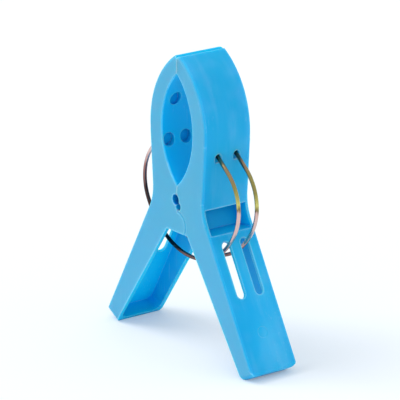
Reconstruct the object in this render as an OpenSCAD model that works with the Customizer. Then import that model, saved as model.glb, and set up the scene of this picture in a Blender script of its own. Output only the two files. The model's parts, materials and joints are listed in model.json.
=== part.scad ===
// Large two-piece clothespin: two identical moulded halves that hook together
// at a pivot, held shut by two open ring springs of plated wire.
// Millimetres. +Z up, X across the width, Y through the jaws.
// The origin is on the floor, midway between the feet.

/* [Overall] */
// Height from the feet to the jaw tips
clip_h = 120; // [100:1:144]
// Depth over the two feet with the jaws shut
base_d = 95; // [80:1:114]
// Width of the moulded halves
clip_w = 22.6; // [19:0.2:28]

/* [Jaws] */
// Height of the flat faces that meet at the tips
tip_land = 7; // [5:0.5:9]
// Half of the widest point of the jaw opening
open_half = 9.9; // [8:0.1:12]
// Wall of the jaw at its widest point
jaw_wall = 8.1; // [7:0.1:10]
// Rounding of the jaw tip
tip_r = 1.4; // [0.8:0.1:1.6]
// Gap left between the two halves where their faces meet
parting_gap = 0.1; // [0.06:0.02:0.2]

/* [Jaw recesses] */
// Diameter of the round recesses inside the jaws
recess_d = 5.4; // [4:0.1:5.8]
// Depth of the recesses
recess_depth = 2.2; // [1:0.1:2.3]
// Spacing of the row of three across the width
recess_pitch = 8.1; // [6.5:0.1:8.2]
// Spacing of the row of two across the width
recess_pair = 11.2; // [8:0.1:13]
// Height of the row of three above the pivot
recess_low = 32; // [30:0.5:34]
// Height of the row of two above the pivot
recess_high = 48.5; // [47:0.5:53]

/* [Waist] */
// Half of the depth at the waist, between jaws and legs
waist_half = 16; // [15:0.1:18]
// Height of the waist above the pivot
waist_rise = 8; // [7:0.1:9]
// Radius of the hollow of the waist
waist_r = 16; // [10:1:20]
// Top of the pocket above the pivot
pocket_rise = 9.6; // [8:0.1:10]
// Bottom of the pocket above the pivot
pocket_floor = 0.2; // [-0.5:0.1:1]
// Depth of the pocket, inwards
pocket_depth = 8; // [5:0.1:8.4]
// Wall at each end of the pocket
pocket_wall = 1.5; // [1.2:0.1:2.5]

/* [Pivot] */
// Height of the pivot above the floor
pivot_z = 52; // [48:0.5:56]
// Radius of the knuckle that each half turns on
knuckle_r = 5.5; // [4.5:0.1:6.6]
// Running clearance between knuckle and socket
knuckle_clear = 0.08; // [0.04:0.01:0.1]
// Side clearance at each end of a knuckle
knuckle_play = 0.1; // [0.05:0.05:0.3]
// Underside of the knuckle below the pivot
knuckle_cut = 3; // [2:0.1:3.5]
// Bottom of the jaw opening above the pivot
throat_rise = 16; // [14:0.5:18]

/* [Relief gap] */
// Radius of the upper part of the gap above the knuckles
relief_r = 2.2; // [1.5:0.1:2.4]
// Radius of the lower part of the gap
relief_low_r = 1.7; // [1:0.1:1.9]
// Top of the gap above the pivot
relief_top = 12.3; // [11:0.1:12.8]
// Bottom of the gap above the top of the knuckles
relief_low = 0.5; // [0.3:0.1:0.8]
// How far each part of the gap is set off the middle
relief_shift = 0.8; // [0:0.1:1.2]

/* [Legs] */
// Thickness of a leg at the foot
foot_t = 6.5; // [5.5:0.1:8]
// Flat on which each foot stands
foot_flat = 1.2; // [0.8:0.1:2]
// Rounding of the outer edge of the foot
foot_r = 1.8; // [0.6:0.1:2]
// How far the two corners of the foot are cut back
foot_corner_r = 3; // [1:0.5:4]
// Half of the gap between the legs where they meet the knuckle
crotch_half = 6.8; // [6.7:0.1:8]
// Thickness of the leg's outer plate
plate_t = 1.3; // [1.2:0.1:2]
// Thickness of the rims down both sides of the leg
rim_t = 1.8; // [1.4:0.1:2.4]
// Thickness of the rim across the foot
foot_rim = 2; // [1.5:0.1:3]
// Corner radius inside the leg
tray_r = 3; // [1.5:0.1:4]
// Diameter of the round mark on the leg
mark_d = 4.5; // [3:0.1:6]
// Depth of the round mark
mark_depth = 0.2; // [0.1:0.05:0.4]
// Height of the round mark above the floor
mark_z = 17; // [12:0.5:22]

/* [Edges] */
// Rounding of the outer edges of the jaw; it eases off towards the leg and the waist
jaw_edge_r = 1.5; // [1.4:0.05:1.8]
// Rounding of the outer edges of the leg
leg_edge_r = 1.3; // [1:0.05:1.35]
// Rounding of the outer edges in the hollow of the waist
waist_edge_r = 1.1; // [0.5:0.05:1.15]
// Bevel round the knuckles and sockets on the two side faces
knuckle_bevel = 0.5; // [0.2:0.1:0.8]
// Rounding of the edges of the jaw opening
lip_r = 0.6; // [0.3:0.1:0.7]

/* [Ring springs] */
// Diameter of the spring wire
wire_d = 1.6; // [1.4:0.1:2.2]
// Distance between the two rings
ring_pitch = 8.8; // [8:0.1:9.5]
// Furthest reach of a ring from the middle, to the middle of the wire
ring_reach = 30.5; // [29:0.5:32]
// Radius of a ring where it bows out beside the waist
ring_side_r = 18.4; // [17:0.1:20]
// Height of the bowed-out part above the pivot
ring_rise = 11.4; // [10:0.1:13]
// Lowest point of a ring below the pivot, to the middle of the wire
ring_drop = 14.4; // [13:0.1:15]
// Height of the wire holes above the pivot
hole_rise = 30.5; // [29:0.5:32]
// Clearance of the wire in its hole, all round
hole_clear = 0.15; // [0.1:0.05:0.3]
// Depth of the wire hole along the wire
hole_depth = 6; // [5:0.1:6.5]
// Room between the end of the wire and the bottom of its hole
hole_room = 0.5; // [0.3:0.1:1]
// Widening of the hole's mouth, all round
hole_flare = 0.6; // [0.3:0.1:0.8]
// Width of the slots that the rings pass through
slot_w = 4; // [3.6:0.1:4.4]
// Length of the slots
slot_l = 23; // [19:0.5:25]
// Room left above the ring at the top of its slot
slot_lead = 2.4; // [2:0.1:4]

/* [Hidden] */
$fn = 96;
eps = 0.5;
hair = 0.05;
over = 0.6;
over_a = 1;
corner_k = 0.998;
plastic = [0.16, 0.66, 0.89];
plating = [0.72, 0.68, 0.36];

// side view coordinates are [y, z], for the rear half
half_w = clip_w / 2;
face_y = parting_gap / 2;
crotch_z = pivot_z - knuckle_cut;
throat_z = pivot_z + throat_rise;
open_top = clip_h - tip_land;
belly_z = (throat_z + open_top) / 2;
jaw_half = open_half + jaw_wall;
waist = [waist_half, pivot_z + waist_rise];

// radius of an arc that stands upright at reach x and ends at the middle plane, a height h
// away, on a rounded tip of radius t
function bow_r(x, h, t = 0) = ((x - t) * (x - t) + (h - t) * (h - t) - t * t) / (2 * (x - 2 * t));
// point at a distance from c, at an angle
function polar(c, r, a) = c + r * [cos(a), sin(a)];
// angle on a circle of the point where a line from p touches it; side is 1 or -1
function touch_a(p, c, r, side) =
    atan2(p[1] - c[1], p[0] - c[0]) + side * acos(r / norm(p - c));

// centre of an arc of radius r in a corner between sides along u and v; the arc runs a
// hair past both sides, so that it meets them at a slight angle
function corner_c(p, u, v, r) =
    p + (u + v) / norm(u + v) * corner_k * r / sin(acos(u * v) / 2);

jaw_r = bow_r(jaw_half - face_y, clip_h - belly_z, tip_r);
jaw_c = [jaw_half - jaw_r, belly_z];
jaw_a = touch_a(waist, jaw_c, jaw_r, 1);
jaw_end = polar(jaw_c, jaw_r, jaw_a);
tip_a = acos((face_y - jaw_c[0]) / jaw_r);

open_r = bow_r(open_half, open_top - belly_z);
open_c = [open_half - open_r, belly_z];
open_a = acos(1 - open_half / open_r);

// the leg leans so that its end, cut square, reaches base_d; its angle in degrees is
// found in a few steps from a first guess
function foot_y(a) = base_d / 2 + foot_r * (corner_k * (sin(a) + cos(a)) - 1);
function lean(n, a) = n == 0 ? a :
    lean(n - 1, atan2(foot_y(a) - waist_half, waist[1] - foot_t * sin(a)));
leg_a = lean(6, 28);
leg_down = [sin(leg_a), -cos(leg_a)];
leg_in = [-cos(leg_a), -sin(leg_a)];
foot = [foot_y(leg_a), foot_t * sin(leg_a)];
leg_l = norm(foot - waist);
heel_y = foot[0] - foot[1] / tan(leg_a);
waist_up = (jaw_end - waist) / norm(jaw_end - waist);
waist_turn = acos(waist_up * -leg_down);
waist_t = waist_r * tan(waist_turn / 2);
waist_c = corner_c(waist, waist_up, leg_down, waist_r);

// outer surface of the half at a height above the waist
function outer_y(z) = z > jaw_end[1] ?
    jaw_c[0] + sqrt(jaw_r * jaw_r - (z - belly_z) * (z - belly_z)) :
    waist[0] + (z - waist[1]) * waist_up[0] / waist_up[1];
// surface of the jaw opening at a height
function inner_y(z) = open_c[0] + sqrt(open_r * open_r - (z - belly_z) * (z - belly_z));

// a ring is a wide bottom arc between two tighter side arcs, with straight tails into the jaws
ring_c = [ring_reach - ring_side_r, pivot_z + ring_rise];
ring_low = pivot_z - ring_drop;
ring_k = ring_low - ring_c[1];
bow_big_r = (ring_side_r * ring_side_r - ring_k * ring_k - ring_c[0] * ring_c[0])
    / (2 * (ring_k + ring_side_r));
bow_c = [0, ring_low + bow_big_r];
bow_a = atan2(ring_c[1] - bow_c[1], ring_c[0]);
hole_z = pivot_z + hole_rise;
hole_at = [outer_y(hole_z), hole_z];
tail_a = touch_a(hole_at, ring_c, ring_side_r, -1);
tail_from = polar(ring_c, ring_side_r, tail_a);
tail_dir = (hole_at - tail_from) / norm(hole_at - tail_from);
hole_r = wire_d / 2 + hole_clear;

// where the ring crosses the outer face of the leg, measured down the leg from the waist
cross_b = (waist - bow_c) * leg_down;
cross_l = -cross_b + sqrt(cross_b * cross_b
    - (waist - bow_c) * (waist - bow_c) + bow_big_r * bow_big_r);

// the knuckles and sockets take turns across the width
fingers = 4;
finger_w = clip_w / fingers;

// --- helpers -------------------------------------------------------------

// a side view made into a solid, centred across the width
module across(w) {
    rotate([90, 0, 90]) linear_extrude(w, center = true) children();
}

// moves to a side view point and turns so that +Y runs towards q
module along(p, q) {
    translate([0, p[0], p[1]])
        rotate([atan2(q[1] - p[1], q[0] - p[0]), 0, 0]) children();
}

// 2D: the sliver between a corner and an arc of radius r in it, between sides that run
// along u and v; it goes on a little beyond both sides
module corner_sliver(p, u, v, r) {
    c = corner_c(p, u, v, r);
    t = r / tan(acos(u * v) / 2);
    difference() {
        polygon([p - (u + v) * eps, p + u * t - v * eps, c, p + v * t - u * eps]);
        translate(c) circle(r);
    }
}

// 2D: what comes off a corner at the origin, with the material below and to the left;
// the arc meets both faces at a slight angle
module edge_tool(r) {
    k = 0.96 * r;
    difference() {
        translate([-k, -k]) square(k + eps);
        translate([-k, -k]) circle(r);
    }
}

// rounds the two outer edges of a straight stretch, with material to the left of p to q
module round_straight(p, q, r) {
    along(p, q)
        for (s = [0, 1]) mirror([s, 0, 0]) translate([half_w, 0, 0])
            rotate([-90, 0, 0]) linear_extrude(norm(q - p)) edge_tool(r);
}

// rounds the two outer edges of an arc; side is 1 where the material is inside the arc
module round_arc(c, r_arc, from, to, r, side) {
    translate([0, c[0], c[1]]) rotate([90, 0, 90]) rotate(from)
        for (s = [0, 1]) mirror([0, 0, s])
            rotate_extrude(angle = to - from) translate([r_arc, half_w])
                mirror([side > 0 ? 0 : 1, 0]) edge_tool(r);
}

// 2D: a slot with round ends, from the origin along +Y
module slot_shape(w, l) {
    for (y = [w / 2, l - w / 2]) translate([0, y]) circle(d = w);
    translate([-w / 2, w / 2]) square([w, l - w]);
}

// 2D: a rectangle with four round corners, from the origin along +Y
module round_box(w, l, r) {
    translate([-w / 2, r]) square([w, l - 2 * r]);
    translate([r - w / 2, 0]) square([w - 2 * r, l]);
    for (x = [r - w / 2, w / 2 - r], y = [r, l - r]) translate([x, y]) circle(r);
}

// --- one moulded half ----------------------------------------------------

// side view of the half without its knuckles
module half_outline() {
    difference() {
        union() {
            intersection() {
                translate(jaw_c) circle(jaw_r, $fn = 240);
                translate([face_y, jaw_end[1]]) square([jaw_half, clip_h]);
            }
            polygon([
                [face_y, jaw_end[1]], jaw_end, waist, foot,
                [heel_y, 0], [heel_y - foot_flat, 0],
                [crotch_half, crotch_z], [face_y, crotch_z]
            ]);
            corner_sliver(waist, waist_up, leg_down, waist_r);
        }
        jaw_opening();
        corner_sliver(foot, -leg_down, leg_in, foot_r);
        tip_sliver();
    }
}

// the almond between the jaws, half of it
module jaw_opening() {
    intersection() {
        translate(open_c) circle(open_r, $fn = 240);
        translate([-eps, 0]) square([open_half + 2 * eps, clip_h]);
    }
}

// rounds the tip where the jaw's arc runs out on the parting face
module tip_sliver() {
    ty = face_y + tip_r;
    tz = belly_z + sqrt(pow(jaw_r - tip_r, 2) - pow(ty - jaw_c[0], 2));
    touch = jaw_c + ([ty, tz] - jaw_c) * jaw_r / (jaw_r - tip_r);
    difference() {
        polygon([[ty, tz], touch, [touch[0], 2 * clip_h], [face_y - eps, 2 * clip_h],
            [face_y - eps, tz]]);
        translate([ty, tz]) circle(tip_r);
    }
}

// the gap above the knuckles that keeps the halves from pinching: an S in the side view,
// which leans the other way in every other finger
module relief(i) {
    side = (i % 2 == 0 ? 1 : -1) * relief_shift;
    translate([-half_w + (i + 0.5) * finger_w, 0, 0])
        across(finger_w + (i == 0 || i == fingers - 1 ? 2 * eps : 0)) {
            translate([side, pivot_z + relief_top - relief_r]) circle(relief_r);
            translate([-side, pivot_z + knuckle_r + relief_low + relief_low_r])
                circle(relief_low_r);
        }
}

// one knuckle: it stands out past the parting plane and is cut flat underneath
module knuckle(i) {
    outer_l = i == 0 ? 0 : knuckle_play;
    outer_r = i == fingers - 1 ? 0 : knuckle_play;
    x0 = -half_w + i * finger_w;
    intersection() {
        translate([x0 + outer_l, 0, pivot_z]) rotate([0, 90, 0]) difference() {
            cylinder(r = knuckle_r, h = finger_w - outer_l - outer_r);
            if (i == 0) knuckle_rim();
        }
        translate([-clip_w, -clip_w, crotch_z]) cube(2 * clip_w);
    }
}

// the ring that bevels a knuckle at a side face, only where it stands past the parting plane
module knuckle_rim() {
    b = knuckle_bevel;
    difference() {
        translate([-clip_w, face_y - 2 * clip_w, -eps])
            cube([2 * clip_w, 2 * clip_w, eps + b]);
        translate([0, 0, -2 * eps]) cylinder(r1 = knuckle_r - b - 2 * eps,
            r2 = knuckle_r + 2 * eps, h = b + 4 * eps);
    }
}

// one socket, which takes the other half's knuckle
module socket(i) {
    b = knuckle_bevel;
    translate([-half_w + i * finger_w, 0, pivot_z]) rotate([0, 90, 0]) {
        cylinder(r = knuckle_r + knuckle_clear,
            h = finger_w + (i == fingers - 1 ? eps : 0));
        if (i == fingers - 1) translate([0, 0, finger_w - b])
            cylinder(r1 = knuckle_r + knuckle_clear, r2 = knuckle_r + knuckle_clear + b + eps,
                h = b + eps);
    }
}

// the hollow of the waist, open to the outside
module pocket() {
    top = pivot_z + pocket_rise;
    low = pivot_z + pocket_floor;
    low_y = waist[0] + (waist[1] - low) * tan(leg_a);
    outside = waist_half + clip_w;
    across(clip_w - 2 * pocket_wall)
        polygon([
            [outside, top], [outer_y(top) - pocket_depth, top],
            [low_y - pocket_depth, low], [outside, low]
        ]);
}

// the inside of the leg, open towards the other leg
module tray() {
    a = foot + leg_in * plate_t - leg_down * foot_rim;
    top = a - leg_down * (crotch_z - a[1]) / cos(leg_a);
    intersection() {
        across(clip_w - 2 * rim_t)
            polygon([a, top, [-1, crotch_z], [-1, -pivot_z], a + leg_in * pivot_z]);
        along(waist, foot) mirror([0, 0, 1])
            translate([0, -2 * leg_l - foot_rim, -eps]) linear_extrude(2 * pivot_z)
                round_box(clip_w - 2 * rim_t, 3 * leg_l, tray_r);
    }
}

// breaks the two corners of the foot with short flats, seen square on to the leg;
// the first and the last of them run out through the faces on either side
module foot_corners() {
    c = [-foot_corner_r, -foot_corner_r];
    r = foot_corner_r + hair;
    for (s = [0, 1]) mirror([s, 0, 0])
        along(waist, foot) translate([half_w, leg_l, -3 * foot_t])
            linear_extrude(4 * foot_t)
                polygon(concat([[eps, eps]], [for (a = [0 : 15 : 90]) polar(c, r, a)]));
}

// the slots that the two rings pass through
module ring_slots() {
    for (x = [-ring_pitch / 2, ring_pitch / 2])
        along(waist, foot) translate([x, cross_l - slot_lead, -plate_t - 2 * eps])
            linear_extrude(plate_t + 4 * eps) slot_shape(slot_w, slot_l);
}

// the blind holes that hold the ends of the rings, each with a mouth that widens
// outwards over its last millimetre
module ring_holes() {
    mouth = 1;
    for (x = [-ring_pitch / 2, ring_pitch / 2])
        translate([x, 0, 0]) along(hole_at, hole_at + tail_dir) rotate([-90, 0, 0]) {
            translate([0, 0, -3 * mouth]) cylinder(r = hole_r, h = hole_depth + 3 * mouth);
            translate([0, 0, -mouth]) cylinder(r1 = hole_r + 2 * hole_flare, r2 = hole_r,
                h = 2 * mouth);
        }
}

// the round recesses inside the jaw
module recesses() {
    for (row = [[recess_low, recess_pitch, 1], [recess_high, recess_pair, 0.5]])
        for (k = [-row[2] : 1 : row[2]])
            translate([k * row[1], 0, pivot_z + row[0]]) rotate([-90, 0, 0])
                cylinder(d = recess_d, h = inner_y(pivot_z + row[0]) + recess_depth);
}

// the shallow round mark on the outer face of the leg
module leg_mark() {
    along(waist, foot)
        translate([0, (waist[1] - mark_z) / cos(leg_a), -mark_depth])
            cylinder(d = mark_d, h = 1);
}

// all the long outer edges of the half; each tool starts before its own stretch and runs
// on past it, into the reach of its neighbour
module edge_rounding() {
    waist_a = 180 + jaw_a;
    round_arc(jaw_c, jaw_r, jaw_a - over_a, tip_a + over_a, jaw_edge_r, 1);
    round_straight(waist + waist_up * (waist_t - over), jaw_end + waist_up * 3 * over,
        leg_edge_r);
    round_arc(waist_c, waist_r, waist_a - 2 * over_a, waist_a + waist_turn + 2 * over_a,
        waist_edge_r, -1);
    round_straight(foot + leg_down * over, waist + leg_down * (waist_t - over), leg_edge_r);
    round_arc(open_c, open_r, -open_a, open_a, lip_r, -1);
}

module half() {
    difference() {
        union() {
            difference() {
                across(clip_w) half_outline();
                for (i = [1 : 2 : fingers - 1]) socket(i);
                for (i = [0 : fingers - 1]) relief(i);
            }
            for (i = [0 : 2 : fingers - 1]) knuckle(i);
        }
        pocket();
        tray();
        foot_corners();
        ring_slots();
        ring_holes();
        recesses();
        leg_mark();
        edge_rounding();
    }
}

module rear_half() {
    color(plastic) half();
}

module front_half() {
    color(plastic) rotate([0, 0, 180]) half();
}

// --- ring springs --------------------------------------------------------

// a piece of ring along an arc in the side view, cut a hair short at both ends
module wire_arc(c, r, from, to) {
    cut = hair / r * 180 / PI;
    translate([0, c[0], c[1]]) rotate([90, 0, 90]) rotate(from + cut)
        rotate_extrude(angle = to - from - 2 * cut) translate([r, 0])
            circle(d = wire_d);
}

// the ball that closes the joint between two pieces of wire
module wire_joint(p) {
    translate([0, p[0], p[1]]) sphere(d = wire_d + hair / 2);
}

module ring() {
    wire_arc(bow_c, bow_big_r, -180 - bow_a, bow_a);
    for (s = [0, 1]) mirror([0, s, 0]) {
        wire_joint(polar(bow_c, bow_big_r, bow_a));
        wire_arc(ring_c, ring_side_r, bow_a, tail_a);
        wire_joint(tail_from);
        along(tail_from, hole_at) rotate([-90, 0, 0]) translate([0, 0, hair])
            cylinder(d = wire_d,
                h = norm(hole_at - tail_from) + hole_depth - hole_room - hair);
    }
}

module left_spring() {
    color(plating) translate([-ring_pitch / 2, 0, 0]) ring();
}

module right_spring() {
    color(plating) translate([ring_pitch / 2, 0, 0]) ring();
}

rear_half();
front_half();
left_spring();
right_spring();
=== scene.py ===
# A large sprung clothespin: two moulded halves that hook together at a pivot, and two ring
# springs that pull them shut. Metres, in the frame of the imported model.
import json
import math

import bmesh
import bpy
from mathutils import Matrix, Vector


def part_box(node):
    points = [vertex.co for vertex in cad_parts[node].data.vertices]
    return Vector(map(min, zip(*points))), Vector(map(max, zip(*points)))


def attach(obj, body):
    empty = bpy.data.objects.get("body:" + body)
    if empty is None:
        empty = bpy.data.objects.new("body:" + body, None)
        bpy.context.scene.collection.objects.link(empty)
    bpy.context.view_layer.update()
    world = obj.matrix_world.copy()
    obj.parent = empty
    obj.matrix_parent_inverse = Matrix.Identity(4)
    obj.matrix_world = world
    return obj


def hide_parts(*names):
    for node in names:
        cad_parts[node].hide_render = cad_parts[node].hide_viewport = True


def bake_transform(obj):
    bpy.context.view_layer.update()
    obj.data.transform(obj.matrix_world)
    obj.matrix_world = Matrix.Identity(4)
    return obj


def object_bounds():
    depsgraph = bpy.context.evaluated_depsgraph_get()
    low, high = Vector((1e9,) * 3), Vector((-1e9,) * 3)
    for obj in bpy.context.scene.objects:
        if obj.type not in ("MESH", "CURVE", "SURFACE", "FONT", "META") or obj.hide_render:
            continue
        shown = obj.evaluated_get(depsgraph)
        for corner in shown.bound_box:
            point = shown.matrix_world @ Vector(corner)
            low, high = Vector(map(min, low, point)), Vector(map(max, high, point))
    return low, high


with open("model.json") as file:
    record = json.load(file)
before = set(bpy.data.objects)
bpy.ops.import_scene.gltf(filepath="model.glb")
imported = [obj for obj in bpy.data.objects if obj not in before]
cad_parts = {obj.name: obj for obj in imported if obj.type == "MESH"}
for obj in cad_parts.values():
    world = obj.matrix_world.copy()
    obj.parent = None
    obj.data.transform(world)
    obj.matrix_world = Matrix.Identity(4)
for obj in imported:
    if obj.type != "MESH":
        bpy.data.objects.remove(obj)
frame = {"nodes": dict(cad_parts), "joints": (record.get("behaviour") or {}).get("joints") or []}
cad_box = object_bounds()
pivot = frame["joints"][0]["pos_m"]


# ---------------------------------------------------------------------------
# The two halves. Each is one injection moulding in sky-blue polypropylene, and the second is
# the first turned half a turn. They hook together by knuckles moulded into the waist. The
# skin is satin and clouded by the melt, with hairline scuffs and corners rubbed pale, which
# also serve as a painted highlight. Its colour carries painted light as well: a painted sheen
# on the side faces, painted highlights along the edges, a painted glow inside and in the
# hollows, and painted shade in the wells and in the gap over the knuckles.
# ---------------------------------------------------------------------------


def card(red, green, blue):
    """A colour as it stands on a colour card, 0 to 255, made into a socket value."""
    light = []
    for part in (red, green, blue):
        part = part / 255
        light.append(part / 12.92 if part <= 0.04045 else ((part + 0.055) / 1.055) ** 2.4)
    return (*light, 1)


sky_blue = card(34, 176, 222)
deep_blue = card(20, 168, 216)
haze_blue = card(92, 186, 228)
# a pale blue for wear and the melt's streaks, whose rubbed corners also serve as a painted
# highlight; then the painted sheen of the side faces, the painted highlights of the edges, the
# painted glow inside and in the hollows, and the painted shade of the wells and the gap
wear_and_highlight_blue = card(166, 214, 238)
side_sheen_blue = card(88, 169, 200)
edge_highlight_blue = card(150, 214, 246)
inner_glow_blue = card(2, 186, 232)
well_shade_blue = card(0, 124, 200)
gap_shade_blue = card(0, 82, 178)
satin = 0.45

# how far out from the middle the side rims of a leg run, and where the side faces begin
clip_side = cad_box[1].x
rim_line = clip_side - 0.0011
side_skin = (clip_side - 0.0013, clip_side - 0.0003)
# the broken corners, the wider rounding along which the painted highlights run, how far
# off a wall the painted glow and shade reach, and how many feelers each of these puts out
edge_round = 0.0005
edge_line = 0.0011
shade_reach = 0.014
feelers = 6
# the round mark low on a leg, the gap over the knuckles that is painted in shade, and how far
# each one reaches
mark_at = (0, cad_box[1].y - 0.00725, 0.01695)
mark_rim = (0.0026, 0.0036)
gap_at = (0, pivot[1], pivot[2] + 0.0095)
gap_walls = (0.0065, 0.005)
# the relief of the skin: orange peel, the sinks over the rims, and the mould's own grain
peel_depth = 0.00004
sink_depth = 0.00003
sink_width = 0.0016
grain_depth = 0.000006


class Mark:
    """A socket of a finish that can be written into sums: each sum adds a Math node."""

    def __init__(self, finish, socket):
        self.finish = finish
        self.socket = socket

    def maths(self, operation, first, second):
        return self.finish.maths(operation, first, second)

    def __add__(self, other):
        return self.maths("ADD", self, other)

    def __radd__(self, other):
        return self.maths("ADD", other, self)

    def __sub__(self, other):
        return self.maths("SUBTRACT", self, other)

    def __rsub__(self, other):
        return self.maths("SUBTRACT", other, self)

    def __mul__(self, other):
        return self.maths("MULTIPLY", self, other)

    def __rmul__(self, other):
        return self.maths("MULTIPLY", other, self)

    def __abs__(self):
        return self.finish.node("Math", {"operation": "ABSOLUTE"}, {0: self})


class Finish:
    """The nodes of a material, or of the world. `place` is the point on the piece, in metres,
    or for the world the direction in which one looks."""

    def __init__(self, owner, place="Object"):
        owner.use_nodes = True
        self.owner = owner
        self.tree = owner.node_tree
        self.tree.nodes.clear()
        self.place = self.node("TexCoord", out=place)

    def node(self, kind, settings=None, values=None, out=0):
        made = self.tree.nodes.new("ShaderNode" + kind)
        for name, setting in (settings or {}).items():
            if name == "stops":
                self.fill_ramp(made.color_ramp, setting)
            else:
                setattr(made, name, setting)
        for name, value in (values or {}).items():
            if isinstance(value, Mark):
                self.tree.links.new(value.socket, made.inputs[name])
            else:
                made.inputs[name].default_value = value
        return Mark(self, made.outputs[out]) if made.outputs else None

    def fill_ramp(self, ramp, stops):
        while len(ramp.elements) < len(stops):
            ramp.elements.new(1)
        for element, (position, colour) in zip(ramp.elements, stops):
            element.position = position
            element.color = colour

    def maths(self, operation, first, second):
        return self.node("Math", {"operation": operation}, {0: first, 1: second})

    def measure(self, operation, first, second):
        """A number got from two vectors, such as their distance."""
        return self.node("VectorMath", {"operation": operation}, {0: first, 1: second}, "Value")

    def stretched(self, x, y, z):
        settings = {"operation": "MULTIPLY"}
        return self.node("VectorMath", settings, {0: self.place, 1: (x, y, z)})

    def part(self, vector, axis):
        return self.node("SeparateXYZ", {}, {0: vector}, axis)

    def along(self, axis):
        return self.part(self.place, axis)

    def noise(self, place, scale, detail=2.0, rough=0.5):
        values = {"Vector": place, "Scale": scale, "Detail": detail, "Roughness": rough}
        return self.node("TexNoise", {}, values)

    def between(self, value, low, high):
        """0 at low and 1 at high, with a soft run from one to the other."""
        values = {0: value, 1: low, 2: high}
        return self.node("MapRange", {"interpolation_type": "SMOOTHSTEP"}, values)

    def mix(self, mask, colour_a, colour_b):
        values = {0: mask, 6: colour_a, 7: colour_b}
        return self.node("Mix", {"data_type": "RGBA"}, values, 2)

    def rounded(self, radius):
        """The way the surface faces when its corners are rounded off."""
        return self.node("Bevel", {"samples": feelers}, {"Radius": radius})

    def bump(self, height, depth, normal=None):
        values = {"Height": height, "Distance": depth}
        if normal is not None:
            values["Normal"] = normal
        return self.node("Bump", {}, values)

    def done(self, **sockets):
        values = {name.replace("_", " "): value for name, value in sockets.items()}
        shader = self.node("BsdfPrincipled", {}, values)
        self.node("OutputMaterial", {}, {"Surface": shader})
        return self.owner


def clouded_blue(skin, clouds):
    """Sky blue with a haze and streaks that run up the moulding, as the melt flowed."""
    haze = skin.between(skin.noise(skin.stretched(1, 1, 0.7), 75), 0.46, 0.72)
    flow = skin.between(skin.noise(skin.stretched(5, 1, 0.6), 60), 0.45, 0.8)
    body = skin.mix(skin.between(clouds, 0.3, 0.7), deep_blue, sky_blue)
    body = skin.mix(haze * 0.42, body, haze_blue)
    return skin.mix(flow * 0.08, body, wear_and_highlight_blue)


def knuckle_gap_shade(skin, open_air):
    """Painted shade in the narrow gap over the knuckles, seen from the side."""
    from_gap = skin.measure("DISTANCE", skin.stretched(0, 1, 1), gap_at)
    return skin.between(from_gap, *gap_walls) * skin.between(open_air, 0.9, 0.7)


def light_lines(skin, sharp, open_air, inward, outermost):
    """Painted highlights: fine pale lines along the rounded outer edges, where light gathers."""
    turned = skin.measure("DOT_PRODUCT", skin.rounded(edge_line), sharp)
    edge = skin.between(1 - turned, 0.012, 0.07) * skin.between(open_air, 0.5, 0.75)
    edge = edge * (1 - inward * (1 - outermost))
    # the round mark on each leg is too shallow to catch any
    folded = skin.node("VectorMath", {"operation": "ABSOLUTE"}, {0: skin.place})
    from_mark = skin.measure("DISTANCE", folded, mark_at)
    return edge * skin.between(from_mark, *mark_rim)


def skin_relief(skin, soft):
    """Orange peel, the face sunk a little over the side rims, and the grain of the mould."""
    off_rim = abs(abs(skin.along("X")) - rim_line)
    sink = skin.between(off_rim, 0.0, sink_width)
    normal = skin.bump(skin.noise(skin.place, 210), peel_depth, soft)
    normal = skin.bump(sink, sink_depth, normal)
    return skin.bump(skin.noise(skin.place, 2600), grain_depth, normal)


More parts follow.
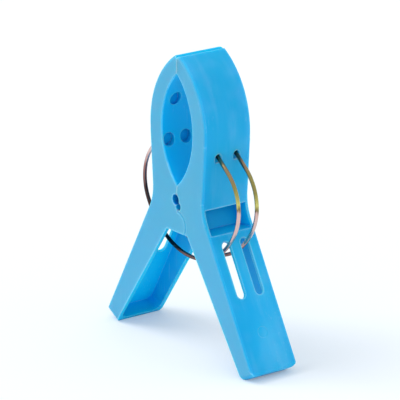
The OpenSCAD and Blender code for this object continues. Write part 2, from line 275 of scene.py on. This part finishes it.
def moulded_plastic():
    skin = Finish(bpy.data.materials.new("sky blue polypropylene"))
    soft = skin.rounded(edge_round)
    sharp = skin.node("NewGeometry", out="True Normal")
    # which way the skin faces is read on the half itself, so that it holds as the half turns
    own_axes = {"vector_type": "NORMAL", "convert_from": "WORLD", "convert_to": "OBJECT"}
    faces = skin.node("VectorTransform", own_axes, {0: soft})
    half_side = skin.node("Math", {"operation": "SIGN"}, {0: skin.along("Y")})
    inward = skin.between(skin.part(faces, "Y") * half_side, -0.1, -0.5)
    outermost = skin.between(abs(skin.along("X")), *side_skin)
    side_face = skin.between(abs(skin.part(faces, "X")), 0.55, 0.95) * outermost
    shade = {"samples": feelers, "only_local": True}
    open_air = skin.node("AmbientOcclusion", shade, {"Distance": shade_reach}, "AO")
    clouds = skin.noise(skin.stretched(1, 1, 0.45), 42, 3)
    # the corners are rubbed pale, wear that also stands as a painted highlight, and handling
    # leaves hairline scuffs
    rub_noise = skin.between(skin.noise(skin.place, 260, 3), 0.2, 0.55)
    broken = 1 - skin.measure("DOT_PRODUCT", soft, sharp)
    rubbed_and_highlit = skin.between(broken, 0.01, 0.12) * rub_noise
    hairs = skin.between(skin.noise(skin.stretched(60, 60, 3), 26), 0.62, 0.7)
    scuffs = hairs * skin.between(skin.noise(skin.place, 35), 0.5, 0.62)

    body = clouded_blue(skin, clouds)
    # painted sheen: the two side faces are painted a paler, greyer blue, for the hazy light they
    # reflect
    body = skin.mix(side_face * 0.9, body, side_sheen_blue)
    # painted glow: faces turned inward and the hollows, though not the side faces, are painted
    # a brighter, purer blue for the light that comes through the thin walls; painted shade then
    # deepens the blue in the wells and in the gap over the knuckles
    hollow_glow = skin.between(open_air, 0.85, 0.5)
    glow_mask = skin.maths("MAXIMUM", inward, hollow_glow) * (1 - side_face)
    body = skin.mix(glow_mask, body, inner_glow_blue)
    # painted shade, darker where the walls close in
    body = skin.mix(skin.between(open_air, 0.48, 0.1) * 0.65, body, well_shade_blue)
    # painted shade in the gap over the knuckles
    body = skin.mix(knuckle_gap_shade(skin, open_air) * 0.7, body, gap_shade_blue)
    # last come the painted highlights along the edges, and over all of it the wear, which at the
    # corners also serves as a painted highlight
    edge = light_lines(skin, sharp, open_air, inward, outermost)
    body = skin.mix(edge * 0.55, body, edge_highlight_blue)
    worn = rubbed_and_highlit * (outermost * 0.5 + 0.3)
    body = skin.mix(worn + scuffs * 0.12, body, wear_and_highlight_blue)
    return skin.done(
        Base_Color=body,
        Roughness=satin + (clouds - 0.5) * 0.12 + scuffs * 0.12 + rubbed_and_highlit * 0.08,
        Normal=skin_relief(skin, soft),
        Specular_IOR_Level=0.14,
        Subsurface_Weight=0.8,
        Subsurface_Radius=(0.05, 0.8, 1.0),
        Subsurface_Scale=0.005,
    )


plastic = moulded_plastic()
for half in ("rear_half", "front_half"):
    frame["nodes"][half].material_slots[0].material = plastic


# ---------------------------------------------------------------------------
# The two ring springs. Each is one length of spring steel wire with a passivated plating, held
# by its ends in blind holes in the jaws. It bows out beside the waist and crosses between the
# legs under the pivot, where it is a piece of its own, attached to neither half; the real wire
# bends there as the clip opens.
# ---------------------------------------------------------------------------

# how thick the wire is, how many sides make it round, and how long a step along it is
wire = 0.0016
wire_sides = 20
wire_step = 0.0006
# the arc beside the waist, whose middle lies this much higher than the pivot, and the
# straight tail that it runs into at the top
side_r = 0.0184
side_rise = 0.0114
tail_turn = math.radians(51.9)
tail_l = 0.0130
# the bow between the legs reaches this far to each side of the middle
bow_half = 0.0245

# the plating runs from brown through olive and yellow to pink and back to brown, down the
# ring from film_top over the length of film_run, and its rear side is further along
film_top = 0.086
film_run = 0.05
film_rear = 0.03
worn_plating = card(196, 190, 176)
plating_depth = 0.00002
plating_stops = [
    (0.00, card(62, 50, 52)),
    (0.14, card(146, 124, 98)),
    (0.26, card(146, 140, 80)),
    (0.40, card(208, 200, 116)),
    (0.47, card(120, 104, 66)),
    (0.51, card(214, 178, 168)),
    (0.70, card(226, 194, 186)),
    (0.84, card(160, 116, 110)),
    (1.00, card(74, 58, 56)),
]


def ring_route(low, high):
    """The middle line of a ring in the side view, from the rear jaw round to the front one."""
    reach = high.y - wire / 2
    bottom = low.z + wire / 2
    side_y = reach - side_r
    side_z = pivot[2] + side_rise
    # the bow is the arc that touches the bottom and runs on smoothly from the side arc
    drop = bottom - side_z
    bow_r = (side_r**2 - drop**2 - side_y**2) / (2 * (drop + side_r))
    bow_z = bottom + bow_r
    join = math.atan2(side_z - bow_z, side_y)

    def arc(centre_y, centre_z, radius, start, end):
        count = round(abs(end - start) * radius / wire_step)
        for i in range(count):
            turn = start + (end - start) * i / count
            yield centre_y + radius * math.cos(turn), centre_z + radius * math.sin(turn)

    top_y = side_y + side_r * math.cos(tail_turn)
    top_z = side_z + side_r * math.sin(tail_turn)
    rise = (-math.sin(tail_turn), math.cos(tail_turn))
    half = [(top_y + rise[0] * tail_l, top_z + rise[1] * tail_l)]
    half += arc(side_y, side_z, side_r, tail_turn, join)
    half += arc(0, bow_z, bow_r, join, -math.pi / 2)
    return half + [(0, bottom)] + [(-y, z) for y, z in reversed(half)]


def sweep_wire(name, x, route, blunt_ends):
    """Round wire along a stretch of the route, closed at the ends that are blunt."""
    mesh = bmesh.new()
    hoops = []
    for i, (y, z) in enumerate(route):
        before = route[max(i - 1, 0)]
        after = route[min(i + 1, len(route) - 1)]
        length = math.dist(before, after)
        out_y = (after[1] - before[1]) / length
        out_z = (before[0] - after[0]) / length
        hoop = []
        for k in range(wire_sides):
            turn = 2 * math.pi * k / wire_sides
            across = wire / 2 * math.sin(turn)
            out = wire / 2 * math.cos(turn)
            hoop.append(mesh.verts.new((x + across, y + out * out_y, z + out * out_z)))
        hoops.append(hoop)
    for first, second in zip(hoops, hoops[1:]):
        for k in range(wire_sides):
            beside = (k + 1) % wire_sides
            face = mesh.faces.new((first[k], first[beside], second[beside], second[k]))
            face.smooth = True
    for end in blunt_ends:
        mesh.faces.new(hoops[end])
    bmesh.ops.recalc_face_normals(mesh, faces=mesh.faces)
    data = bpy.data.meshes.new(name)
    mesh.to_mesh(data)
    mesh.free()
    piece = bpy.data.objects.new(name, data)
    bpy.context.scene.collection.objects.link(piece)
    return piece


def plated_wire():
    coat = Finish(bpy.data.materials.new("passivated wire"))
    patches = coat.noise(coat.place, 70, 3, 0.6)
    streaks = coat.noise(coat.stretched(9, 1, 1), 190)
    down = (film_top - coat.along("Z")) * (1 / film_run)
    rear_side = coat.between(coat.along("Y"), 0.0, film_rear) * 0.45
    film = down + rear_side + (patches - 0.5) * 0.5 + (streaks - 0.5) * 0.15
    colour = coat.node("ValToRGB", {"stops": plating_stops}, {"Fac": film}, "Color")
    worn = coat.between(coat.noise(coat.place, 420, 3), 0.55, 0.8)
    return coat.done(
        Base_Color=coat.mix(worn * 0.25, colour, worn_plating),
        Metallic=1.0,
        Roughness=0.16 + streaks * 0.12,
        Normal=coat.bump(coat.noise(coat.place, 900), plating_depth),
    )


plating = plated_wire()
for side in ("left", "right"):
    node = side + "_spring"
    low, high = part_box(node)
    middle_x = (low.x + high.x) / 2
    route = ring_route(low, high)
    inside = [i for i, (y, z) in enumerate(route) if abs(y) < bow_half and z < pivot[2]]
    first = inside[0]
    last = inside[-1]
    stretches = {
        "rear": (route[: first + 1], [0]),
        "bow": (route[first : last + 1], []),
        "front": (route[last:], [-1]),
    }
    for part, (stretch, blunt_ends) in stretches.items():
        piece = sweep_wire(f"{side}_ring_{part}", middle_x, stretch, blunt_ends)
        piece.data.materials.append(plating)
        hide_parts(node)
        if part == "bow":
            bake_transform(piece)
        else:
            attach(piece, part)


# ---------------------------------------------------------------------------
# The table: a plain white sheet that runs out of sight on all sides. It isn't part of the
# clip, which only stands on it.
# ---------------------------------------------------------------------------

table_size = 12.0
paper = card(250, 252, 254)
white = (1, 1, 1, 1)
# how much of the table's own shadow is washed out to the eye, as by a bright studio
wash = 0.2


def seen_white(finish):
    """What is 1 for the eye and for whatever is seen in a mirror or through glass."""
    eye = finish.node("LightPath", out="Is Camera Ray")
    mirror = finish.node("LightPath", out="Is Glossy Ray")
    glass = finish.node("LightPath", out="Is Transmission Ray")
    return finish.maths("MAXIMUM", finish.maths("MAXIMUM", eye, mirror), glass)


def white_table():
    top = Finish(bpy.data.materials.new("white table"))
    matt = top.node("BsdfDiffuse", {}, {"Color": paper})
    washed = top.node("Emission", {}, {"Color": white, "Strength": 1.0})
    shown = top.node("MixShader", {}, {0: seen_white(top) * wash, 1: matt, 2: washed})
    top.node("OutputMaterial", {}, {"Surface": shown})
    return top.owner


sheet = bmesh.new()
bmesh.ops.create_grid(sheet, x_segments=4, y_segments=4, size=table_size / 2)
sheet_mesh = bpy.data.meshes.new("table")
sheet.to_mesh(sheet_mesh)
sheet.free()
table = bpy.data.objects.new("table", sheet_mesh)
table.data.materials.append(white_table())
bpy.context.scene.collection.objects.link(table)


# ---------------------------------------------------------------------------
# The light: a white studio that is brighter at the front left of the clip, and one broad
# soft lamp high up behind it on that side.
# ---------------------------------------------------------------------------

glow_from = (-0.6, -0.7, 0.4)
studio_bright = 1.05
studio_dim = 0.75
studio_tint = (0.84, 0.92, 1, 1)
lamp_from = (-0.5, 0.6, 0.9)
lamp_strength = 1.2
lamp_spread = math.radians(38)
lamp_colour = (1, 0.97, 0.93)


def studio():
    room = Finish(bpy.data.worlds.new("studio"), "Generated")
    length = math.hypot(*glow_from)
    towards = tuple(part / length for part in glow_from)
    facing = room.between(room.measure("DOT_PRODUCT", room.place, towards), -0.5, 0.9)
    glow = studio_dim + facing * (studio_bright - studio_dim)
    seen = seen_white(room)
    shown = room.node("Mix", {"data_type": "FLOAT"}, {0: seen, 2: glow, 3: 1.0})
    tint = room.mix(seen, studio_tint, white)
    light = room.node("Background", {}, {"Color": tint, "Strength": shown})
    room.node("OutputWorld", {}, {"Surface": light})
    return room.owner


bpy.context.scene.world = studio()
lamp = bpy.data.objects.new("lamp", bpy.data.lights.new("lamp", "SUN"))
lamp.data.energy = lamp_strength
lamp.data.angle = lamp_spread
lamp.data.color = lamp_colour
lamp.rotation_mode = "QUATERNION"
lamp.rotation_quaternion = Vector(lamp_from).to_track_quat("Z", "Y")
bpy.context.scene.collection.objects.link(lamp)


# ---------------------------------------------------------------------------
# The camera: a long lens, a little above the clip and off to the left of its front leg,
# aimed at the middle of the clip.
# ---------------------------------------------------------------------------

look_turn = math.radians(-36.9)
look_down = math.radians(18.0)
look_distance = 1.28
lens = 295
film_width = 36

back = Vector((
    math.sin(look_turn) * math.cos(look_down),
    -math.cos(look_turn) * math.cos(look_down),
    math.sin(look_down),
))
camera = bpy.data.objects.new("camera", bpy.data.cameras.new("camera"))
camera.data.lens = lens
camera.data.sensor_width = film_width
camera.location = (cad_box[0] + cad_box[1]) / 2 + back * look_distance
camera.rotation_mode = "QUATERNION"
camera.rotation_quaternion = back.to_track_quat("Z", "Y")
bpy.context.scene.collection.objects.link(camera)
bpy.context.scene.camera = camera
bpy.context.scene.view_settings.view_transform = "Standard"
